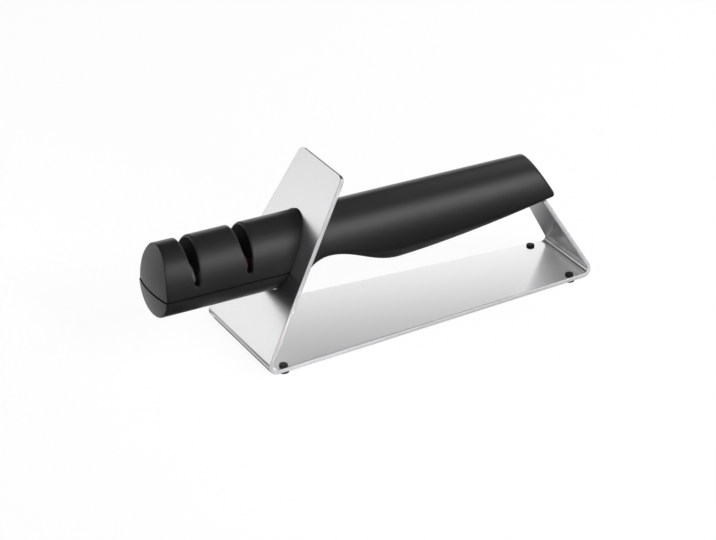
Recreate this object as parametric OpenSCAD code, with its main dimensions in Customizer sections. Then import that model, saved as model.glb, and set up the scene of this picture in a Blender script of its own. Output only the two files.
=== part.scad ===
// Two-stage roller knife sharpener, lying in its bent sheet-steel stand.
// X runs from the sharpening head (minus) to the handle (plus), Y across, Z up.
// The origin is on the table, in the middle of the whole object's length and width.

/* [Stand sheet] */
// Thickness of the stainless sheet
sheet_t = 2; // [1.5:0.1:2.5]
// Length of the base between the sharp corners of its two bends
stand_len = 179.7; // [174:0.1:190]
// Width of the sheet at the front bend
front_w = 62; // [54:0.1:68]
// Width of the sheet at the rear bend
rear_w = 37.7; // [35:0.1:44]
// Inner radius of both bends
bend_r = 2; // [1.5:0.1:4]

/* [Front plate] */
// Angle between the base and the front plate in degrees
plate_angle = 61; // [58:0.1:65]
// Length of the plate from the bend's sharp corner to its top edge
plate_len = 92.4; // [86:0.1:98]
// Width of the plate at its top edge
plate_top_w = 38; // [35:0.5:44]
// Radius of the plate's two top corners
plate_corner_r = 3; // [1:0.5:6]
// Gap all round between the sharpener and the plate's opening
opening_gap = 0.3; // [0.2:0.05:0.6]

/* [Rear leg] */
// Angle between the base and the rear leg in degrees
leg_angle = 58.9; // [55:0.1:64]
// Width of the leg at its top edge
leg_top_w = 24.1; // [20:0.1:26]
// Radius of the leg's two top corners
leg_corner_r = 0.8; // [0.4:0.1:5]
// Gap between the leg's top edge and the handle that rests on it
rest_gap = 0.3; // [0.1:0.05:0.6]
// Depth of the hollow in the leg's top edge, in which the handle lies
saddle_h = 1; // [0.4:0.1:1.2]

/* [Feet] */
// Height of a foot under the sheet
foot_h = 1; // [0.8:0.1:2]
// Diameter of a foot under the sheet
foot_d = 5; // [4:0.1:6]
// Diameter of a foot's neck, which fills the hole in the sheet
foot_neck_d = 2.8; // [2:0.1:3.2]
// Diameter of the cap that holds a foot from above
foot_cap_d = 4; // [3.4:0.1:4.4]
// Height of the cap above the sheet
foot_cap_h = 0.9; // [0.8:0.1:1.6]
// Distance of the front feet from the front bend's sharp corner
front_foot_x = 10.9; // [10:0.1:20]
// Distance of the rear feet from the rear bend's sharp corner
rear_foot_x = 14; // [12:0.1:25]
// Distance of the front feet from the sheet's side edge
front_foot_inset = 2.7; // [2.4:0.1:5]
// Distance of the rear feet from the sheet's side edge
rear_foot_inset = 3; // [2.4:0.1:5]

/* [Sharpener body] */
// Height of the parting plane and of the roller axles above the table
parting_z = 39.5; // [38:0.1:42]
// Width of the sharpening head
head_w = 27.9; // [26:0.1:30]
// Height of the crown line above the parting plane
crown_h = 21.6; // [20:0.1:24]
// Depth of the head's keel below the parting plane
keel_h = 11.7; // [11.4:0.1:13]
// Fullness of the upper half of the egg-shaped section, where 2 is half an ellipse
egg_n = 2; // [1.8:0.05:2.5]
// How far the head's nose stands out in front of the stand's front corner
nose_x = 38.5; // [36:0.1:42]
// How far the cover's end face stands out in front of the housing's
nose_step = 0.35; // [0:0.05:0.6]
// Bulge of the head's domed end face over half its width
dome_h = 1.65; // [0.5:0.05:3]
// Edge radius round the end face
nose_edge_r = 0.4; // [0.3:0.1:1.2]

/* [Handle] */
// Where the head's keel ends and the finger notch begins
step_x = 30.5; // [29:0.1:32]
// Place of the notch's highest point
notch_x = 42; // [37:0.1:46]
// Height of the notch above the parting plane
notch_h = 0.9; // [0:0.1:3]
// Place of the belly's lowest stretch
belly_x = 79.8; // [70:0.1:90]
// Depth of the belly below the parting plane
belly_h = 11; // [8:0.1:11.4]
// Height of the underside at the handle's end above the parting plane
tail_h = 2.2; // [0:0.1:3]
// Place of the handle's end, measured along its underside
tail_x = 160.1; // [155:0.1:166]
// Angle of the sloping end face to the table in degrees
tail_angle = 63; // [50:0.5:75]
// Width of the handle at its end
tail_w = 25.6; // [20:0.1:27]
// Where the handle begins to taper
taper_x = 60; // [50:1:90]
// Edge radius round the handle's end
tail_edge_r = 1.3; // [0.5:0.1:2.5]

/* [Blade slots] */
// Place of the coarse stage in front of the stand's front corner
coarse_x = 22.1; // [21:0.1:24]
// Distance between the two stages
stage_pitch = 25.1; // [24:0.1:27]
// Height of a slot's floor above the parting plane
slot_floor_h = 4; // [3.5:0.1:5]
// Width of a slot at its floor
slot_floor_w = 2.6; // [2.2:0.1:3]
// Width of a slot just under its lips
slot_top_w = 5.4; // [5:0.1:7]
// Radius of a slot's lips at the crown
slot_lip_r = 1.1; // [0.8:0.1:2.5]

/* [Rollers] */
// Diameter of a roller axle
axle_d = 3; // [2.5:0.1:3.5]
// Length of a roller axle
axle_len = 16; // [14:0.5:18]
// Diameter of a ceramic wheel at its rim
wheel_d = 18.4; // [17:0.1:19]
// Diameter at the bottom of the notch between two wheels
notch_d = 10.4; // [9.6:0.1:11.5]
// Angle of a wheel's grinding face to the blade in degrees
grind_angle = 20; // [15:1:25]
// Width of the rim
rim_w = 1; // [0.6:0.1:1.4]
// Half the width of a pair of wheels
pair_half_w = 4; // [3.6:0.1:4.2]
// Outer diameter of the hub that carries a pair
hub_d = 6; // [5.2:0.1:7]
// Half the length of a hub
hub_half_len = 5; // [4.8:0.1:5.2]
// Diameter of the hub's flange and of the clamp ring
flange_d = 9; // [8:0.1:10]
// Thickness of a thrust washer
washer_t = 0.4; // [0.3:0.05:0.5]
// Diameter of a thrust washer
washer_d = 6.5; // [5:0.1:8]
// Play round the wheels in their pocket
wheel_play = 0.6; // [0.4:0.05:0.8]

/* [Cover and screws] */
// Height of the fine seam between housing and cover
seam_gap = 0.2; // [0.1:0.05:0.3]
// Where the cover ends against the housing
cover_end_x = 26; // [24:0.1:27]
// Wall of the housing and cover where they are cored out
wall_t = 2.4; // [1.8:0.1:3]
// Shank diameter of a cover screw
screw_d = 2.9; // [2.5:0.1:3.5]
// Head diameter of a cover screw
screw_head_d = 5.4; // [4.8:0.1:6]
// Head height of a cover screw
screw_head_h = 2; // [1.5:0.1:2.5]
// Length of a screw under its head
screw_len = 14; // [10:0.5:16]
// Depth from the keel to the seat of a screw head
screw_recess = 3.6; // [3:0.1:5]
// Place of the rear screw behind the fine stage's centre
rear_screw_x = 15.5; // [14:0.1:18]

/* [Hidden] */

$fn = 64;
fit_gap = 0.05;            // radial clearance of shafts, screws and feet in their holes
end_play = 0.15;           // axial clearance between a hub and its thrust washer
belly_slope = 0.06;        // slope of the underside at the belly
tail_slope = 0.22;         // slope of the underside at the handle's end
widest_rise = 4.4;         // how far the widest line climbs above the notch's flat underside
over = 1;                  // how far cutters run past what they cut
graze = 0.02;              // how far a corner's arc runs out of the edges, to cross them cleanly

// Stand
bend_out = bend_r + sheet_t;
front_tan = bend_out / tan(plate_angle / 2);
rear_tan = bend_out / tan(leg_angle / 2);
rear_reach = stand_len - rear_tan + bend_out;
origin_x = (rear_reach - nose_x - nose_step) / 2;
bend_steps = 16;

// Body
crown_steps = 24;
keel_steps = 16;
dome_r = pow(head_w / 2, 2) / (2 * dome_h);
tail_shear = 1 / tan(tail_angle);
shear_x = 90;              // the rings stand upright in front of this place

// Stages
stage_x = [-coarse_x, stage_pitch - coarse_x];
pocket_r = wheel_d / 2 + wheel_play;
pocket_half_len = hub_half_len + end_play + washer_t + fit_gap;
collar_w = hub_half_len - pair_half_w;
screw_x = [stage_x[0] + stage_pitch / 2, stage_x[1] + rear_screw_x];
pilot_depth = screw_recess + screw_len - keel_h + over;
core_x = [stage_x[1] + pocket_half_len + 4.5, cover_end_x - wall_t];
pillar_d = screw_head_d + 2 * 1.4;

// Curve helpers

// Height at x on the cubic from p to q that leaves with slope m and arrives with slope n.
function cubic(x, p, q, m, n) =
    let (w = q[0] - p[0], t = (x - p[0]) / w)
    p[1] * (2 * t * t * t - 3 * t * t + 1) + q[1] * (3 * t * t - 2 * t * t * t)
    + m * w * (t * t * t - 2 * t * t + t) + n * w * (t * t * t - t * t);

// Width factor of the egg's upper half, at height z above the parting plane.
function egg(z) = pow(1 - pow(min(1, max(0, z / crown_h)), egg_n), 1 / egg_n);

// Half the body's width at x, which shrinks towards the handle's end.
function half_w(x) = head_w / 2
    - (head_w - tail_w) / 2 * pow(max(0, x - taper_x) / (tail_x - taper_x), 2);

// Height of the underside's middle at x, measured from the parting plane.
function underside(x) =
    x <= step_x ? -keel_h :
    x < notch_x ? -keel_h + (notch_h + keel_h) * sqrt(1 - pow((notch_x - x) / (notch_x - step_x), 2)) :
    x < belly_x ? cubic(x, [notch_x, notch_h], [belly_x, -belly_h], 0, belly_slope) :
    cubic(x, [belly_x, -belly_h], [tail_x, tail_h], belly_slope, tail_slope);

// Height of the widest line over an underside at height b.
function widest(b) = widest_rise * pow(max(0, b + keel_h) / (notch_h + keel_h), 1.5);

// One closed ring of the body, as [x, y, z] points from the widest line over the crown and
// round the underside. Its foot is at x, it leans back by lean, and inset draws it in.
function ring(x, lean = 0, inset = 0) =
    let (
        b = underside(x),
        w = widest(b),
        n = 2 + 0.6 * w / widest_rise,
        mid = (crown_h + b) / 2,
        k = 1 - inset * 2 / (crown_h - b)
    )
    [for (i = [0 : crown_steps + keel_steps - 1])
        let (
            top = i <= crown_steps,
            a = top ? 180 * i / crown_steps : 180 * (i - crown_steps) / keel_steps,
            z = top ? w + (crown_h - w) * sin(a) : w - (w - b) * pow(sin(a), 2 / n),
            px = x - lean * (z - b),
            side = (top ? 1 : -1) * (a > 90 ? -1 : 1),
            y = top ? egg(z) : egg(w) * pow(abs(cos(a)), 2 / n)
        )
        [px, side * y * (half_w(px) - inset), parting_z + mid + (z - mid) * k]];

// One ring of the domed end face: the section drawn in towards the parting line's middle, and
// set back as the square of its distance from there.
function nose_ring(x, scale_k, back) =
    [for (p = ring(x))
        let (y = p[1] * scale_k, z = (p[2] - parting_z) * scale_k)
        [x + back + (y * y + z * z) / (2 * dome_r), y, parting_z + z]];

function nose_rings(x) = concat(
    [for (k = [0.04, 0.35, 0.65, 0.87]) nose_ring(x, k, 0)],
    [for (a = [0 : 30 : 90])
        let (k = 1 - nose_edge_r * (1 - sin(a)) * 2 / head_w)
        nose_ring(x, k, nose_edge_r * (1 - cos(a)))]
);

function lean_at(x) = tail_shear * max(0, (x - shear_x) / (tail_x - shear_x));

function body_rings() = concat(
    nose_rings(-nose_x),
    [ring(-nose_x + 8), ring(step_x)],
    [for (a = [15 : 15 : 90]) ring(notch_x - (notch_x - step_x) * cos(a))],
    [for (i = [1 : 10]) ring(notch_x + (belly_x - notch_x) * i / 10)],
    [for (i = [1 : 17]) let (x = belly_x + (tail_x - tail_edge_r - belly_x) * i / 17) ring(x, lean_at(x))],
    [for (a = [30 : 30 : 90])
        ring(tail_x - tail_edge_r * (1 - sin(a)), tail_shear, tail_edge_r * (1 - cos(a)))]
);

// A closed solid through rings of equal length. Each ring turns from +Y to +Z.
module loft(rings) {
    m = len(rings[0]);
    n = len(rings);
    polyhedron(
        points = [for (r = rings) for (p = r) p],
        faces = concat(
            [for (k = [1 : m - 2]) [0, k, k + 1]],
            [for (i = [0 : n - 2]) for (k = [0 : m - 1])
                [i * m + k, (i + 1) * m + k, (i + 1) * m + (k + 1) % m]],
            [for (i = [0 : n - 2]) for (k = [0 : m - 1])
                [i * m + k, (i + 1) * m + (k + 1) % m, i * m + (k + 1) % m]],
            [for (k = [1 : m - 2]) [(n - 1) * m, (n - 1) * m + k + 1, (n - 1) * m + k]]
        ),
        convexity = 6
    );
}

// The head's egg section as a straight bar from x0 to x1, grown or shrunk all round by grow.
module egg_bar(x0, x1, grow) {
    mid = (crown_h - keel_h) / 2;
    k = 1 + grow * 2 / (crown_h + keel_h);
    translate([x0, 0, 0])
        rotate([90, 0, 90])
            linear_extrude(x1 - x0)
                polygon([for (p = ring(0))
                    [p[1] * (1 + grow * 2 / head_w), parting_z + mid + (p[2] - parting_z - mid) * k]]);
}

module place() {
    translate([-origin_x, 0, 0]) children();
}

// Stand

function base_half_w(x) = (front_w + (rear_w - front_w) * x / stand_len) / 2;
function plate_half_w(s) = (front_w + (plate_top_w - front_w) * s / plate_len) / 2;

// Where the leg's outer face comes up to the handle's underside, found by repeated steps.
function meet_x(i = 8) =
    i == 0 ? tail_x - 5 :
    stand_len - (parting_z + underside(meet_x(i - 1)) - rest_gap - foot_h) / tan(leg_angle);
leg_len = (stand_len - meet_x()) / cos(leg_angle) + saddle_h / sin(leg_angle);
saddle_r = (pow(leg_top_w / 2, 2) + pow(saddle_h, 2)) / (2 * saddle_h);

function leg_half_w(s) = (rear_w + (leg_top_w - rear_w) * s / leg_len) / 2;

// One cross-section of the sheet's strip: outer edge, inner edge, and half its width.
function strip_ring(outer, inner, w) =
    [for (q = [[outer, -w], [outer, w], [inner, w], [inner, -w]]) [q[0][0], q[1], q[0][1]]];

// The strip's cross-section in a bend round the centre c, at the angle a.
function bend_ring(c, a, w) = strip_ring(
    c + bend_out * [cos(a), sin(a)], c + bend_r * [cos(a), sin(a)], w);

// The strip's cross-section at the free end of a wall whose foot is at x. Side is 1 for the
// plate, which leans towards plus X, and -1 for the leg.
function end_ring(x, side, angle, len, w) =
    let (outer = [x + side * len * cos(angle), len * sin(angle)])
    strip_ring(outer, outer + sheet_t * [side * sin(angle), -cos(angle)], w);

function mix(a, b, t) = a + (b - a) * t;

// The whole strip from the plate's top edge, down, along the base and up to the leg's top.
function strip_rings() = concat(
    [end_ring(0, 1, plate_angle, plate_len, plate_top_w / 2)],
    [for (i = [0 : bend_steps]) bend_ring([front_tan, bend_out],
        mix(90 + plate_angle, 270, i / bend_steps),
        mix(plate_half_w(front_tan), base_half_w(front_tan), i / bend_steps))],
    [for (i = [0 : bend_steps]) bend_ring([stand_len - rear_tan, bend_out],
        mix(270, 450 - leg_angle, i / bend_steps),
        mix(base_half_w(stand_len - rear_tan), leg_half_w(rear_tan), i / bend_steps))],
    [end_ring(stand_len, -1, leg_angle, leg_len, leg_top_w / 2)]
);

// Cutters that round the two top corners of a wall with length len, whose half-width goes
// from w0 at its foot to w1.
module corner_cutters(len, w0, w1, r) {
    slant = atan((w0 - w1) / len);
    c = [len - r + graze, w1 + r * tan(slant) - r / cos(slant) + graze];
    for (k = [0, 1]) mirror([0, k, 0]) translate([0, 0, -over]) linear_extrude(sheet_t + 2 * over)
        difference() {
            polygon([c, [len + over, c[1]], [len + over, w1 + over],
                c + (r + over) * [sin(slant), cos(slant)]]);
            translate(c) circle(r);
        }
}

module wall_frame(angle) {
    rotate([0, -angle, 0]) translate([0, 0, -sheet_t]) children();
}

function foot_places() = [
    for (s = [-1, 1]) [front_foot_x, s * (base_half_w(front_foot_x) - front_foot_inset)],
    for (s = [-1, 1]) [stand_len - rear_foot_x,
        s * (base_half_w(stand_len - rear_foot_x) - rear_foot_inset)]
];

module stand_sheet() {
    color("silver") place() difference() {
        translate([0, 0, foot_h]) difference() {
            loft(strip_rings());
            wall_frame(plate_angle)
                corner_cutters(plate_len, front_w / 2, plate_top_w / 2, plate_corner_r);
            translate([stand_len, 0, 0]) mirror([1, 0, 0]) wall_frame(leg_angle)
                corner_cutters(leg_len, rear_w / 2, leg_top_w / 2, leg_corner_r);
        }
        egg_bar(0, step_x + 20, opening_gap);
        translate([meet_x(), 0, parting_z + underside(meet_x()) - rest_gap])
            rotate([0, 90 - atan(tail_slope), 0])
                translate([-saddle_r, 0, -10]) cylinder(h = 20, r = saddle_r, $fn = 180);
        for (p = foot_places())
            translate([p[0], p[1], foot_h - over])
                cylinder(h = sheet_t + 2 * over, d = foot_neck_d + 2 * fit_gap);
    }
}

// Push-through rubber foot: flange under the sheet, neck through it, bevelled cap on top.
module foot(i) {
    p = foot_places()[i];
    top = foot_h + sheet_t + foot_cap_h;
    color("dimgray") place() translate([p[0], p[1], 0])
        rotate_extrude()
            polygon([[0, 0], [foot_d / 2 - 0.3, 0], [foot_d / 2, 0.3], [foot_d / 2, foot_h],
                [foot_neck_d / 2, foot_h], [foot_neck_d / 2, foot_h + sheet_t],
                [foot_cap_d / 2, foot_h + sheet_t], [foot_cap_d / 2, top - 0.4],
                [foot_cap_d / 2 - 0.4, top], [0, top]]);
}

module foot_front_right() { foot(0); }
module foot_front_left() { foot(1); }
module foot_rear_right() { foot(2); }
module foot_rear_left() { foot(3); }

// Sharpener body

// A blade slot: round floor, walls that open upwards, and round lips at the crown.
module slot_cutter(x) {
    floor_z = parting_z + slot_floor_h;
    floor_r = slot_floor_w / 2;
    crown_z = parting_z + crown_h;
    lip_z = crown_z - slot_lip_r;
    top_r = slot_top_w / 2;
    translate([x, head_w, 0]) rotate([90, 0, 0]) linear_extrude(2 * head_w) {
        translate([0, floor_z + floor_r]) circle(floor_r);
        polygon([[-floor_r, floor_z + floor_r], [floor_r, floor_z + floor_r], [top_r, lip_z],
            [top_r, crown_z + over], [-top_r, crown_z + over], [-top_r, lip_z]]);
        difference() {
            translate([-top_r - slot_lip_r, lip_z])
                square([slot_top_w + 2 * slot_lip_r, slot_lip_r + over]);
            for (s = [-1, 1]) translate([s * (top_r + slot_lip_r), lip_z]) circle(slot_lip_r);
        }
    }
}

// A straight round bar along X, centred at x on the parting plane's height.
module x_bar(x, half_len, d) {
    translate([x - half_len, 0, parting_z]) rotate([0, 90, 0]) cylinder(h = 2 * half_len, d = d);
}

// The round pockets of both stages and the seats of their axles.
module stage_pockets() {
    for (x = stage_x) {
        x_bar(x, pocket_half_len, 2 * pocket_r);
        x_bar(x, axle_len / 2 + fit_gap, axle_d + 2 * fit_gap);
    }
}

// The hollow behind the fine stage, with a pillar left standing round the rear screw.
module rear_core() {
    difference() {
        egg_bar(core_x[0], core_x[1], -wall_t);
        translate([screw_x[1], 0, 0]) cylinder(h = 2 * parting_z, d = pillar_d);
    }
}

// The box that holds the cover: below the parting plane, from the nose to the cover's end.
module cover_zone(gap) {
    front = nose_x + nose_step + over;
    translate([-front, -head_w, -over])
        cube([front + cover_end_x - gap, 2 * head_w, parting_z + over - gap]);
}

module handle_housing() {
    color([0.09, 0.09, 0.1]) place() difference() {
        loft(body_rings());
        cover_zone(0);
        for (x = stage_x) slot_cutter(x);
        stage_pockets();
        rear_core();
        for (x = screw_x)
            translate([x, 0, parting_z - over])
                cylinder(h = pilot_depth + over, d = screw_d + 2 * fit_gap);
    }
}

module lower_cover() {
    seat_z = parting_z - keel_h + screw_recess;
    color([0.11, 0.11, 0.12]) place() difference() {
        intersection() {
            loft(concat(nose_rings(-nose_x - nose_step), [ring(step_x)]));
            cover_zone(seam_gap);
        }
        stage_pockets();
        rear_core();
        for (x = screw_x) translate([x, 0, 0]) {
            cylinder(h = 2 * parting_z, d = screw_d + 2 * fit_gap);
            cylinder(h = seat_z, d = screw_head_d + 0.6);
        }
    }
}

module cover_screw(x) {
    seat_z = parting_z - keel_h + screw_recess;
    color("gray") place() translate([x, 0, seat_z]) difference() {
        union() {
            cylinder(h = screw_len, d = screw_d);
            translate([0, 0, -screw_head_h])
                cylinder(h = screw_head_h, d1 = screw_head_d - 1.2, d2 = screw_head_d);
        }
        for (a = [0, 90]) rotate([0, 0, a])
            translate([-1.4, -0.3, -screw_head_h - over]) cube([2.8, 0.6, over + 1.2]);
    }
}

module cover_screw_front() { cover_screw(screw_x[0]); }
module cover_screw_rear() { cover_screw(screw_x[1]); }

// Rollers

module axle(x) {
    color("lightgray") place() x_bar(x, axle_len / 2, axle_d);
}

// Turns a profile of [radius, x] points round the axle of the stage at x.
module turned(x, profile) {
    place() translate([x, 0, parting_z]) rotate([0, 90, 0]) rotate_extrude() polygon(profile);
}

// The hub: a sleeve on the axle, with a flange in front of the front wheel.
module hub(x) {
    bore = axle_d / 2 + fit_gap;
    color("white") turned(x, [[bore, -hub_half_len], [flange_d / 2, -hub_half_len],
        [flange_d / 2, -pair_half_w], [hub_d / 2, -pair_half_w], [hub_d / 2, hub_half_len],
        [bore, hub_half_len]]);
}

// One ceramic wheel: it meets its twin at the notch, and its grinding face opens to the rim.
// Side -1 is the front wheel of a pair and 1 the rear one.
module wheel(x, side, tint) {
    rim_x = (wheel_d - notch_d) / 2 * tan(grind_angle);
    bore = hub_d / 2 + fit_gap / 2;
    color(tint) turned(x, [[bore, 0], [notch_d / 2, 0], [wheel_d / 2, side * rim_x],
        [wheel_d / 2, side * (rim_x + rim_w)], [flange_d / 2 + 1, side * pair_half_w],
        [bore, side * pair_half_w]]);
}

module clamp_ring(x) {
    bore = hub_d / 2 + fit_gap / 2;
    color("white") turned(x, [[bore, pair_half_w], [flange_d / 2, pair_half_w],
        [flange_d / 2 - 0.3, hub_half_len], [bore, hub_half_len]]);
}

// Two thrust washers, one at each end of the hub.
module washers(x) {
    bore = axle_d / 2 + fit_gap;
    color("silver") for (s = [-1, 1])
        turned(x, [[bore, s * (hub_half_len + end_play)], [washer_d / 2, s * (hub_half_len + end_play)],
            [washer_d / 2, s * (hub_half_len + end_play + washer_t)],
            [bore, s * (hub_half_len + end_play + washer_t)]]);
}

module coarse_axle() { axle(stage_x[0]); }
module coarse_hub() { hub(stage_x[0]); }
module coarse_wheel_front() { wheel(stage_x[0], -1, "white"); }
module coarse_wheel_rear() { wheel(stage_x[0], 1, "white"); }
module coarse_clamp_ring() { clamp_ring(stage_x[0]); }
module coarse_washers() { washers(stage_x[0]); }
module fine_axle() { axle(stage_x[1]); }
module fine_hub() { hub(stage_x[1]); }
module fine_wheel_front() { wheel(stage_x[1], -1, "orchid"); }
module fine_wheel_rear() { wheel(stage_x[1], 1, "orchid"); }
module fine_clamp_ring() { clamp_ring(stage_x[1]); }
module fine_washers() { washers(stage_x[1]); }

stand_sheet();
foot_front_left();
foot_front_right();
foot_rear_left();
foot_rear_right();
handle_housing();
lower_cover();
cover_screw_front();
cover_screw_rear();
coarse_axle();
coarse_hub();
coarse_wheel_front();
coarse_wheel_rear();
coarse_clamp_ring();
coarse_washers();
fine_axle();
fine_hub();
fine_wheel_front();
fine_wheel_rear();
fine_clamp_ring();
fine_washers();
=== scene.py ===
"""Studio picture of a two-stage roller knife sharpener that lies in its bent steel stand."""

import math

import bmesh
import bpy
import numpy as np
from bpy.props import FloatProperty, FloatVectorProperty, PointerProperty
from mathutils import Matrix, Quaternion, Vector


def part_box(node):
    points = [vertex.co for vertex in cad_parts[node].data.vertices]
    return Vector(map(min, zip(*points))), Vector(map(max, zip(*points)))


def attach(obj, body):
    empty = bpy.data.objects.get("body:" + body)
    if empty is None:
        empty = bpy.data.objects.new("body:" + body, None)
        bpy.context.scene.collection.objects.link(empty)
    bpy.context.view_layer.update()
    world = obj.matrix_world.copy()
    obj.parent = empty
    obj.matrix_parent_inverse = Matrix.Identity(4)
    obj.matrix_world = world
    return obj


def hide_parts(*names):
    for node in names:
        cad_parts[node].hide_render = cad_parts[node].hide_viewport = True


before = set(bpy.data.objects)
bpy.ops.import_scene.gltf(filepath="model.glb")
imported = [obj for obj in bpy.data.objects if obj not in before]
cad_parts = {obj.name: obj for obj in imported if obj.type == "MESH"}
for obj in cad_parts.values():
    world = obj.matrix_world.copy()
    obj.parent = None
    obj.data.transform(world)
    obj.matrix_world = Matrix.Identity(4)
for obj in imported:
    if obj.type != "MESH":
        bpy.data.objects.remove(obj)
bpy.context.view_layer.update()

bl_info = {
    "name": "Knife sharpener in its steel stand",
    "version": (1, 0, 0),
    "blender": (4, 5, 0),
    "location": "3D View > Sidebar > Sharpener",
    "description": "Builds the visible skins, finishes and studio of a two-stage knife sharpener",
    "category": "Object",
}

MM = 0.001

# Sizes in millimetres, measured from the sharp corner between base and front plate.
SHEET, STAND_LEN, FRONT_W, REAR_W, BEND_R = 2.0, 179.7, 62.0, 37.7, 2.0
PLATE_ANGLE, PLATE_LEN, PLATE_TOP_W, PLATE_CORNER = math.radians(61), 92.4, 38.0, 3.0
LEG_ANGLE, LEG_TOP_W, LEG_CORNER, REST_GAP = math.radians(58.9), 24.1, 0.8, 0.3
# Extra height of the leg, deeper than the solid's hollow, from which its top edge is cut.
SADDLE = 2.0
OPENING_GAP, FOOT_H = 0.3, 1.0
# Each pair of feet: distance from its bend, and from the sheet's side edge.
FRONT_FOOT, REAR_FOOT = (10.9, 2.7), (14.0, 3.0)
FOOT_D, NECK_D, CAP_D, CAP_H = 5.0, 2.8, 4.0, 0.9
PARTING, HEAD_W, CROWN, KEEL, EGG = 39.5, 27.9, 21.6, 11.7, 2.0
NOSE, NOSE_STEP, DOME = 38.5, 0.35, 1.65
STEP_X, NOTCH_X, NOTCH_H, BELLY_X, BELLY_H = 30.5, 42.0, 0.9, 79.8, 11.0
TAIL_X, TAIL_H, TAIL_W, TAPER_X, TAIL_R = 160.1, 2.2, 25.6, 60.0, 1.3
TAIL_ANGLE, SHEAR_X, WIDEST_RISE = math.radians(63), 90.0, 4.4
BELLY_SLOPE, TAIL_SLOPE = 0.06, 0.22
COARSE_X, FINE_X = -22.1, 3.0
FLOOR_H, FLOOR_R, TOP_R, LIP_R = 4.0, 1.3, 2.7, 1.1
POCKET_R, POCKET_HALF = 9.8, 5.6
WHEEL_R, NOTCH_R, GRIND, RIM_W, PAIR_HALF, HUB_R = 9.2, 5.2, math.radians(20), 1.0, 4.0, 3.025
COVER_END, SEAM = 26.0, 0.2
SCREWS = (-9.55, 18.5)
SCREW_SEAT, SCREW_HOLE_R, RECESS_R = 3.6, 1.5, 3.0
FOOT_ROUND, WHEEL_ROUND = 0.32, 0.12
# Stations: where the end face's rounding is over, how far a slot's zone reaches to both sides
# of its middle, and where the plain part of the head ends.
NOSE_END, SLOT_REACH, HEAD_END = -35.0, 6.2, 15.0
ORIGIN_X = -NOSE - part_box("handle_housing")[0].x / MM
# Corners of neighbouring grids within this distance, in metres, are joined.
WELD = 5e-7


def number_setting(name, description, default, low, high, **kind):
    """A number in the panel, with its limits."""
    return FloatProperty(name=name, description=description, default=default, min=low, max=high,
                         **kind)


def length_setting(name, description, default, low, high):
    """A length in the panel, in metres."""
    return number_setting(name, description, default, low, high, unit="LENGTH")


def power_setting(name, description, default, high=50):
    """A lamp's power in the panel, in watts."""
    return number_setting(name, description, default, 0, high, subtype="POWER")


def colour_setting(name, description, default):
    """A linear colour in the panel."""
    return FloatVectorProperty(name=name, description=description, default=default, size=3,
                               subtype="COLOR", min=0, max=1)


class SharpenerDetails(bpy.types.PropertyGroup):
    """Small roundings that the eye reads as moulded plastic and cut sheet."""

    sheet_edge: length_setting(
        "Sheet edge radius", "Rounding of the cut edges of the steel sheet",
        0.00055, 0.0001, 0.0008)
    crown_lip: length_setting(
        "Slot lip at the crown", "Rounding of a blade slot's lips on top",
        LIP_R * MM, 0.0005, 0.003)
    flank_lip: length_setting(
        "Slot lip at the flank", "Rounding of a blade slot's lips on the sides",
        0.0005, 0.0002, 0.001)
    nose_edge: length_setting(
        "Nose edge radius", "Rounding between the head's side and its end face",
        0.0004, 0.0002, 0.002)
    keel_edge: length_setting(
        "Keel edge radius", "Rounding of the cover's end at the keel", 0.0008, 0.0004, 0.003)
    seam_edge: length_setting(
        "Seam edge radius", "Rounding along the seam of housing and cover",
        0.00027, 0.0001, 0.0005)


class SharpenerFinishes(bpy.types.PropertyGroup):
    """Colours and gloss of the materials."""

    plastic: colour_setting(
        "Body plastic", "Colour of the housing and the cover", (0.0055, 0.0055, 0.0058))
    steel: colour_setting(
        "Stand steel", "Colour of the brushed stainless sheet", (0.76, 0.76, 0.765))
    rubber: colour_setting(
        "Foot rubber", "Colour of the push-through feet", (0.008, 0.008, 0.008))
    coarse: colour_setting(
        "Coarse wheels", "Colour of the coarse ceramic", (0.78, 0.78, 0.76))
    fine: colour_setting(
        "Fine wheels", "Colour of the fine ceramic", (0.42, 0.17, 0.48))
    bearing: colour_setting(
        "Hub plastic", "Colour of the hubs and clamp rings", (0.7, 0.7, 0.68))
    steel_roughness: number_setting(
        "Steel roughness", "Blur of the stand's reflections", 0.24, 0.05, 0.8, subtype="FACTOR")
    plastic_roughness: number_setting(
        "Plastic roughness", "Blur of the plastic's reflections", 0.4, 0.1, 0.9,
        subtype="FACTOR")


class StudioSettings(bpy.types.PropertyGroup):
    """Lamps, surroundings and the camera's place."""

    key: power_setting("Key lamp", "Power of the large lamp in front on the right", 15.0, 200)
    softbox: power_setting(
        "Flank softbox", "Power of the small softbox that the flank mirrors", 1.5)
    slot_lamp: power_setting(
        "Slot lamp", "Power of the lamp that shines along the blade slots", 0.08, 200)
    overhead: power_setting("Overhead panel", "Power of the dim panel over the handle", 0.9)
    rear: power_setting(
        "Rear softbox", "Power of the softbox behind that the base mirrors", 0.235)
    left: power_setting(
        "Left softbox", "Power of the softbox that the front plate mirrors", 0.133)
    back_wall: number_setting(
        "Back wall", "Brightness of the studio behind the object", 0.5, 0, 3)
    front_wall: number_setting(
        "Front wall", "Brightness of the studio in front of the object", 0.12, 0, 3)
    ceiling: number_setting("Ceiling", "Brightness of the studio overhead", 0.02, 0, 3)
    azimuth: FloatProperty(
        name="Camera azimuth", description="Angle of the camera round the object",
        default=math.radians(-28.92), subtype="ANGLE", unit="ROTATION")
    elevation: FloatProperty(
        name="Camera elevation", description="Angle of the camera above the table",
        default=math.radians(27.72), subtype="ANGLE", unit="ROTATION")
    distance: length_setting(
        "Camera distance", "Distance of the camera from the middle of the view",
        1.10313, 0.5, 5)
    lens: number_setting(
        "Focal length", "Focal length on a 36 mm wide sensor", 125.7, 20, 400,
        subtype="DISTANCE_CAMERA", unit="CAMERA")


def rounding(name):
    """One of the roundings in the panel, in millimetres."""
    return getattr(bpy.context.scene.sharpener_details, name) / MM


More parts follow.
